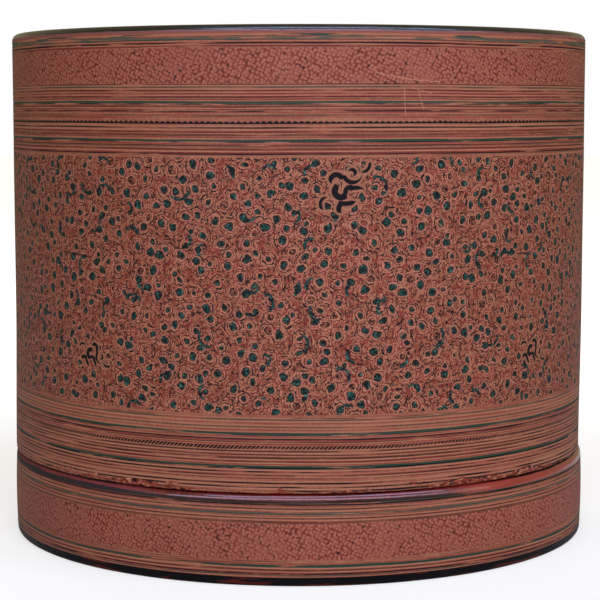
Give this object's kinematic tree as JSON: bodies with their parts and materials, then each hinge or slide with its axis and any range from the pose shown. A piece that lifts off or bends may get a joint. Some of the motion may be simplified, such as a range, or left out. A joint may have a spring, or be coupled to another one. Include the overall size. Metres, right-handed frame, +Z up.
{
  "type": "betel box",
  "caption": "Round lidded box of lacquered bamboo: a tall lid slides over the body onto a base collar, and two shallow stacking trays stand in the body's mouth.",
  "frame": {"origin": "centre of the foot's underside, on the table", "axes": "+Z up along the box's axis; the box is round, so X and Y are free"},
  "size_m": [0.2214, 0.2214, 0.1919],
  "materials": {
    "engraved_lacquer": "red lacquer over bamboo, engraved all over and filled with green and black, satin",
    "plain_lacquer": "plain dark red lacquer over bamboo, satin, worn",
    "black_lacquer": "black lacquer over bamboo, glossy",
    "bamboo": "wound split bamboo, bare"
  },
  "bodies": {
    "body": {"body_rim_hoop": "black_lacquer", "body_wall": "plain_lacquer", "base_disc": "plain_lacquer", "collar_core": "bamboo", "collar_band": "engraved_lacquer", "collar_shoulder": "engraved_lacquer", "foot_ring": "black_lacquer"},
    "lower_tray": {"lower_tray_rim_hoop": "black_lacquer", "lower_tray_band": "engraved_lacquer", "lower_tray_step": "plain_lacquer", "lower_tray_plug": "plain_lacquer", "lower_tray_floor": "plain_lacquer"},
    "upper_tray": {"upper_tray_rim_hoop": "black_lacquer", "upper_tray_band": "engraved_lacquer", "upper_tray_step": "plain_lacquer", "upper_tray_plug": "plain_lacquer", "upper_tray_floor": "plain_lacquer"},
    "lid": {"lid_top_disc": "engraved_lacquer", "lid_wall": "engraved_lacquer", "lid_mouth_hoop": "engraved_lacquer", "lid_corner_hoop": "plain_lacquer"}
  },
  "joints": [
    {"name": "lower_tray_lift", "type": "slide", "parent": "body", "child": "lower_tray", "axis": [0, 0, 1], "range_m": [0, 0.06]},
    {"name": "upper_tray_lift", "type": "slide", "parent": "lower_tray", "child": "upper_tray", "axis": [0, 0, 1], "range_m": [0, 0.06]},
    {"name": "lid_lift", "type": "slide", "parent": "upper_tray", "child": "lid", "axis": [0, 0, 1], "range_m": [0, 0.175]}
  ]
}
